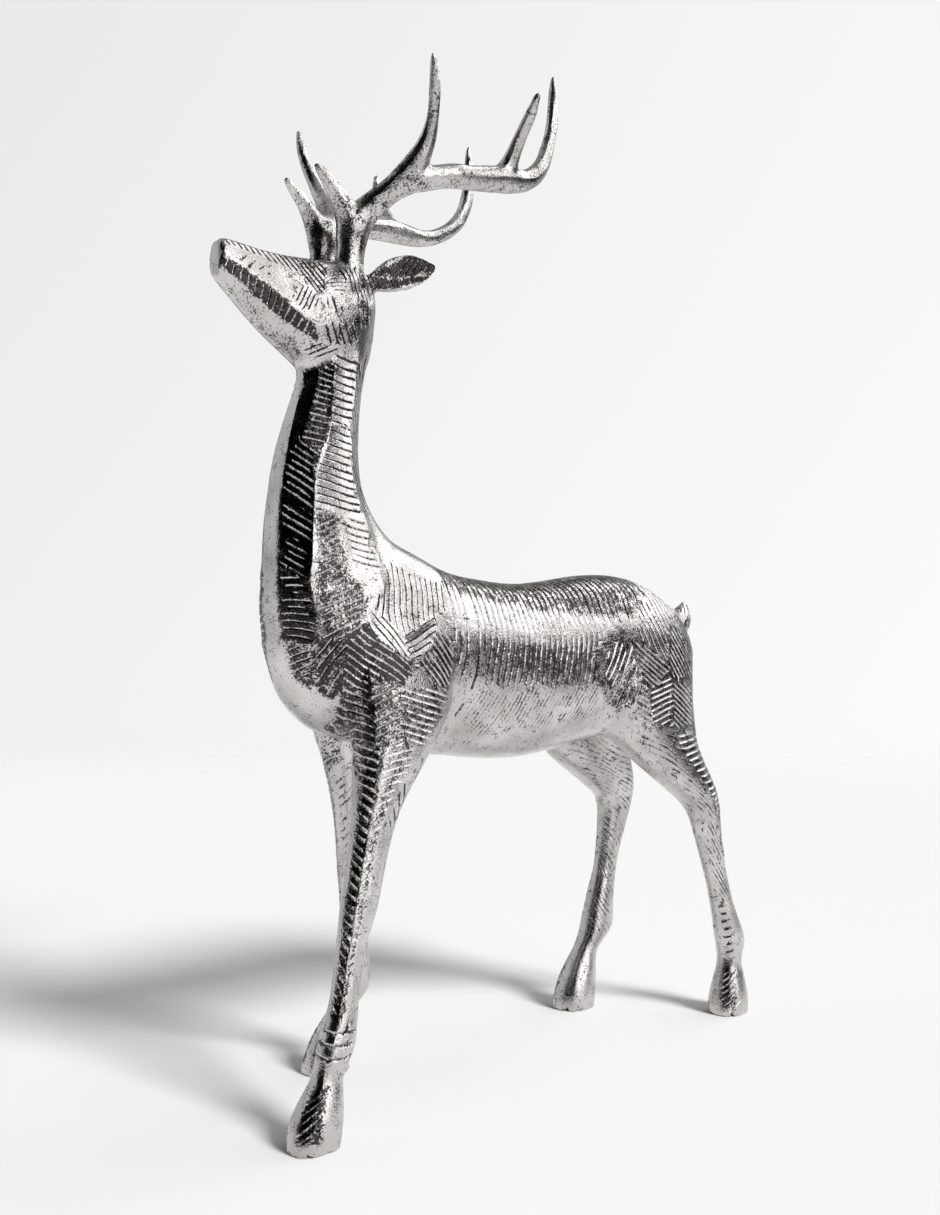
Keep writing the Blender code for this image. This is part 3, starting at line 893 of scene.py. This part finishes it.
for at, shade_and_soot, filled in beds:
    darkness[at] += (shade_and_soot - darkness[at]) * filled
points = points - normals * (sunk + planed)[:, None]
hand = sum(unevenness(points + moved, size) * height for size, moved, height in HAND_WAVES)
points = points + normals * hand[:, None]
# Nothing stands out of the solid's own box.
low_corner, high_corner = (np.array(corner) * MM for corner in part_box("reindeer"))
points = np.clip(points, low_corner, high_corner)


def set_attribute(mesh, name, values, domain="POINT"):
    made = mesh.attributes.new(name, "FLOAT", domain)
    made.data.foreach_set("value", values.ravel().astype(np.float32))


# Edges that run straight on along a stroke are then merged, which thins the mesh.
dense_mesh = bpy.data.meshes.new("dense casting")
dense_mesh.from_pydata(points / MM, [], triangles.tolist())
dense_mesh.update()
set_attribute(dense_mesh, "darkness", darkness)
dense = bpy.data.objects.new("dense casting", dense_mesh)
bpy.context.scene.collection.objects.link(dense)
merging = dense.modifiers.new("Merge", "DECIMATE")
merging.ratio = MOST_TRIANGLES / len(triangles)
mesh = plain_mesh(dense)
bpy.data.objects.remove(dense)
bpy.data.meshes.remove(dense_mesh)
mesh.name = "reindeer casting"
mesh.polygons.foreach_set("use_smooth", np.ones(len(mesh.polygons), bool))
mesh.set_sharp_from_angle(angle=math.radians(SHARP_FROM))
casting = bpy.data.objects.new("reindeer_casting", mesh)
bpy.context.scene.collection.objects.link(casting)

# The scratches' running number and strength go to the material, corner by corner.
points = read_points(mesh)
triangles = read_triangles(mesh)
middles = points[triangles].mean(1)
scratch_number = np.zeros((len(triangles), 3))
scratch_share = np.zeros((len(triangles), 3))
for patch in patches:
    if not patch["fine"]:
        continue
    rows = np.flatnonzero(depth_inside(patch, middles) > 0)
    corners = points[triangles[rows].ravel()]
    scratch_number[rows] = stroke_number(patch, corners).reshape(-1, 3)
    inside = depth_inside(patch, corners).reshape(-1, 3)
    scratch_share[rows] = smooth_step(inside / EDGE_SOFTNESS) * patch["shade_and_soot"]
set_attribute(mesh, "scratch_number", scratch_number, "CORNER")
set_attribute(mesh, "scratch_share", scratch_share, "CORNER")

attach(casting, "root")
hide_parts("reindeer")

# The finish of the casting
# Bare aluminium: a sand-cast skin with a fine grain, polished bright on its planes, and
# dark as fine specks and blotches. Painted shade and grime darken the strokes' beds, and
# painted dark reflections the ground between them.

BRIGHT_METAL = (0.72, 0.70, 0.685, 1)
DULL_METAL = (0.47, 0.45, 0.435, 1)
# The dark for the beds' painted shade and grime, the painted dark reflections, the scratches and the
# specks.
SHADE_AND_SPECK_METAL = (0.027, 0.023, 0.021, 1)
ROUGHNESS = (0.10, 0.20)
GRAIN_DEPTH = 0.00018
SCRATCH_DEPTH = 0.00022
MOST_DARKENING = 0.97
MOST_SPECK = 0.85
# Noises, in turns for each metre.
CLOUD_TURNS = 60
GAP_TURNS = 170
BLOTCH_TURNS = 240
GRAIN_TURNS = 1000
SPECK_TURNS = 1150
# The values between which each mask comes in.
CLOUD_BETWEEN = (0.3, 0.7)
LINE_BETWEEN = (0.05, 0.26)
GAPS_BETWEEN = (0.32, 0.6)
SPECKS_BETWEEN = (0.53, 0.83)
BLOTCHES_BETWEEN = (0.5, 1)
DARKENING_BETWEEN = (0.05, 0.75)

metal = bpy.data.materials.new("chased cast aluminium")
metal.use_nodes = True
nodes, links = metal.node_tree.nodes, metal.node_tree.links
shader = nodes["Principled BSDF"]
shader.inputs["Metallic"].default_value = 1.0


def add_node(kind, **settings):
    """Adds to the node tree that is being built."""
    made = nodes.new(kind)
    for name, value in settings.items():
        setattr(made, name, value)
    return made


def add_maths(operation, *values):
    """Takes numbers and other nodes' outputs."""
    made = add_node("ShaderNodeMath", operation=operation)
    for socket, value in zip(made.inputs, values):
        if isinstance(value, (int, float)):
            socket.default_value = value
        else:
            links.new(value, socket)
    return made.outputs["Value"]


def add_range(value, low, high, start=0.0, end=1.0, **settings):
    """Goes from start to end as value goes from low to high."""
    made = add_node("ShaderNodeMapRange", **settings)
    for name, number in zip(("From Min", "From Max", "To Min", "To Max"), (low, high, start, end)):
        made.inputs[name].default_value = number
    links.new(value, made.inputs["Value"])
    return made.outputs["Result"]


def add_noise(turns, detail, roughness=0.5):
    made = add_node("ShaderNodeTexNoise")
    made.inputs["Scale"].default_value = turns
    made.inputs["Detail"].default_value = detail
    made.inputs["Roughness"].default_value = roughness
    links.new(place.outputs["Object"], made.inputs["Vector"])
    return made.outputs["Fac"]


def add_attribute(name):
    return add_node("ShaderNodeAttribute", attribute_name=name).outputs["Fac"]


place = add_node("ShaderNodeTexCoord")
cloud = add_noise(CLOUD_TURNS, 5)
tone = add_node("ShaderNodeValToRGB")
for stop, at, colour in zip(tone.color_ramp.elements, CLOUD_BETWEEN, (DULL_METAL, BRIGHT_METAL)):
    stop.position = at
    stop.color = colour
links.new(cloud, tone.inputs["Fac"])

# Scratches lie where the running number is whole, and are broken up along their way.
# Their dark is painted shade in the scratches together with grime.
off_line = add_maths("PINGPONG", add_attribute("scratch_number"), 0.5)
line = add_range(off_line, *LINE_BETWEEN, 1, 0, interpolation_type="SMOOTHSTEP")
broken = add_range(add_noise(GAP_TURNS, 3), *GAPS_BETWEEN, interpolation_type="SMOOTHSTEP")
scratch = add_maths("MULTIPLY", line, add_maths("MULTIPLY", broken, add_attribute("scratch_share")))

# Specks and blotches take from the darkness as well as add to it.
specks = add_range(add_noise(SPECK_TURNS, 2), *SPECKS_BETWEEN, 0, MOST_SPECK, clamp=False)
blotches = add_range(add_noise(BLOTCH_TURNS, 4), *BLOTCHES_BETWEEN, clamp=False)
dark = add_maths("ADD", add_maths("MAXIMUM", scratch, add_attribute("darkness")), specks)
dark = add_maths("ADD", dark, blotches)
# The darkness attribute carries painted shade and painted dark reflections along with grime.
shade_and_soot = add_node("ShaderNodeMix", data_type="RGBA")
shade_and_soot.inputs["B"].default_value = SHADE_AND_SPECK_METAL
links.new(tone.outputs["Color"], shade_and_soot.inputs["A"])
dark_share = add_range(dark, *DARKENING_BETWEEN, 0, MOST_DARKENING, interpolation_type="SMOOTHSTEP")
links.new(dark_share, shade_and_soot.inputs["Factor"])
links.new(shade_and_soot.outputs["Result"], shader.inputs["Base Color"])
links.new(add_range(cloud, *CLOUD_BETWEEN, *ROUGHNESS), shader.inputs["Roughness"])

scratched = add_node("ShaderNodeBump", invert=True)
scratched.inputs["Distance"].default_value = SCRATCH_DEPTH
links.new(scratch, scratched.inputs["Height"])
relief = add_node("ShaderNodeBump")
relief.inputs["Strength"].default_value = 1.0
relief.inputs["Distance"].default_value = GRAIN_DEPTH
links.new(add_noise(GRAIN_TURNS, 3, roughness=0.62), relief.inputs["Height"])
links.new(scratched.outputs["Normal"], relief.inputs["Normal"])
links.new(relief.outputs["Normal"], shader.inputs["Normal"])
mesh.materials.append(metal)

# The floor
# A round sheet of pale paper, under the hooves. It fades out before its edge, so that it
# runs into the backdrop with no line.

FLOOR_RADIUS = 4.0
FLOOR_CLEAR = 0.9
FLOOR_SIDES = 96
PAPER_GREY = (0.5, 0.5, 0.5, 1)

floor_mesh = bpy.data.meshes.new("floor")
disc = bmesh.new()
bmesh.ops.create_circle(disc, cap_ends=True, segments=FLOOR_SIDES, radius=FLOOR_RADIUS)
disc.to_mesh(floor_mesh)
disc.free()
floor = bpy.data.objects.new("floor", floor_mesh)
bpy.context.scene.collection.objects.link(floor)

paper = bpy.data.materials.new("pale floor")
paper.use_nodes = True
nodes, links = paper.node_tree.nodes, paper.node_tree.links
paper_shader = nodes["Principled BSDF"]
paper_shader.inputs["Base Color"].default_value = PAPER_GREY
paper_shader.inputs["Roughness"].default_value = 0.9
paper_shader.inputs["Specular IOR Level"].default_value = 0.1
floor_place = add_node("ShaderNodeTexCoord")
distance = add_node("ShaderNodeVectorMath", operation="LENGTH")
links.new(floor_place.outputs["Object"], distance.inputs[0])
away = distance.outputs["Value"]
fading = add_range(away, FLOOR_CLEAR, FLOOR_RADIUS, 1, 0, interpolation_type="SMOOTHSTEP")
links.new(fading, paper_shader.inputs["Alpha"])
floor_mesh.materials.append(paper)

# The room
# The metal mirrors a ring of soft panels with a dark side, which gives its planes their
# black and white. The camera sees an even pale backdrop in their place.

# Headings are degrees from +X towards +Y, heights are degrees above the floor.
EVEN_BRIGHTNESS = 0.45
PANELS = (
    # brightness, headings, heights, softness of the edge
    (0.7, (-200, 200), (-100, -2), 3),
    (0.8, (-200, -122), (0, 60), 5),
    (0.01, (-118, -24), (-6, 62), 5),
    (2.4, (-18, 36), (2, 60), 4),
    (0.02, (41, 72), (-8, 20), 4),
    (3.4, (52, 108), (22, 66), 3),
    (0.6, (84, 200), (-2, 25), 5),
)
BACKDROP_FALLS = (115, 160)
BACKDROP_RISES = (-180, -125)
BACKDROP = (0.97, 0.87)
DARKER_EACH_DEGREE = 0.0016

world = bpy.data.worlds.new("soft room")
bpy.context.scene.world = world
world.use_nodes = True
nodes, links = world.node_tree.nodes, world.node_tree.links
nodes.clear()
looking = add_node("ShaderNodeTexCoord")
parts = add_node("ShaderNodeSeparateXYZ")
links.new(looking.outputs["Generated"], parts.inputs["Vector"])
heading = add_maths("DEGREES", add_maths("ARCTAN2", parts.outputs["Y"], parts.outputs["X"]))
height = add_maths("DEGREES", add_maths("ARCSINE", parts.outputs["Z"]))


def rising(value, at, soft):
    """A share that goes from 0 to 1 as value passes at."""
    return add_range(value, at - soft, at + soft, interpolation_type="SMOOTHSTEP")


def add_panel(before, strength, headings, heights, soft):
    """Lays a soft-edged panel of one brightness over the room so far."""
    share = 1.0
    for value, (low, high) in ((heading, headings), (height, heights)):
        if low > -180:
            share = add_maths("MULTIPLY", share, rising(value, low, soft))
        if high < 180:
            below = add_maths("SUBTRACT", 1.0, rising(value, high, soft))
            share = add_maths("MULTIPLY", share, below)
    lift = add_maths("MULTIPLY", share, add_maths("SUBTRACT", strength, before))
    return add_maths("ADD", before, lift)


room = EVEN_BRIGHTNESS
for panel in PANELS:
    room = add_panel(room, *panel)

seen = add_node("ShaderNodeLightPath")
for_light = add_node("ShaderNodeBackground")
links.new(room, for_light.inputs["Strength"])
backdrop = add_node("ShaderNodeBackground")
backdrop.inputs["Color"].default_value = (1, 1, 1, 1)
paler = add_maths(
    "MINIMUM",
    add_range(heading, *BACKDROP_FALLS, *BACKDROP),
    add_range(heading, *BACKDROP_RISES, *BACKDROP[::-1]),
)
higher = add_maths("MULTIPLY", add_maths("MAXIMUM", height, 0.0), DARKER_EACH_DEGREE)
links.new(add_maths("SUBTRACT", paler, higher), backdrop.inputs["Strength"])
either = add_node("ShaderNodeMixShader")
links.new(seen.outputs["Is Camera Ray"], either.inputs["Fac"])
links.new(for_light.outputs["Background"], either.inputs[1])
links.new(backdrop.outputs["Background"], either.inputs[2])
out = add_node("ShaderNodeOutputWorld")
links.new(either.outputs["Shader"], out.inputs["Surface"])
bpy.context.scene.view_settings.view_transform = "Standard"

# The lamp and the camera
# One large soft lamp from the animal's left throws the shadow. It isn't seen in the metal,
# where the panels stand for it.

LAMP_FROM = mathutils.Vector((0.78, 0.1, 0.62))
LAMP_SPREAD = 18
LAMP_STRENGTH = 5.8

key_data = bpy.data.lights.new("key", "SUN")
key_data.angle = math.radians(LAMP_SPREAD)
key_data.energy = LAMP_STRENGTH
key = bpy.data.objects.new("key", key_data)
key.rotation_euler = LAMP_FROM.to_track_quat("Z", "Y").to_euler()
key.visible_glossy = False
bpy.context.scene.collection.objects.link(key)

CAMERA_PLACE = (0.4372, -0.4187, 0.1856)
CAMERA_AZIMUTH = 47.4
CAMERA_PITCH = 3.97
CAMERA_LENS = 34.5
CAMERA_SENSOR = 36
camera_data = bpy.data.cameras.new("camera")
camera_data.lens = CAMERA_LENS
camera_data.sensor_width = CAMERA_SENSOR
camera = bpy.data.objects.new("camera", camera_data)
camera.location = CAMERA_PLACE
camera.rotation_euler = (math.radians(90 + CAMERA_PITCH), 0, math.radians(CAMERA_AZIMUTH))
bpy.context.scene.collection.objects.link(camera)
bpy.context.scene.camera = camera
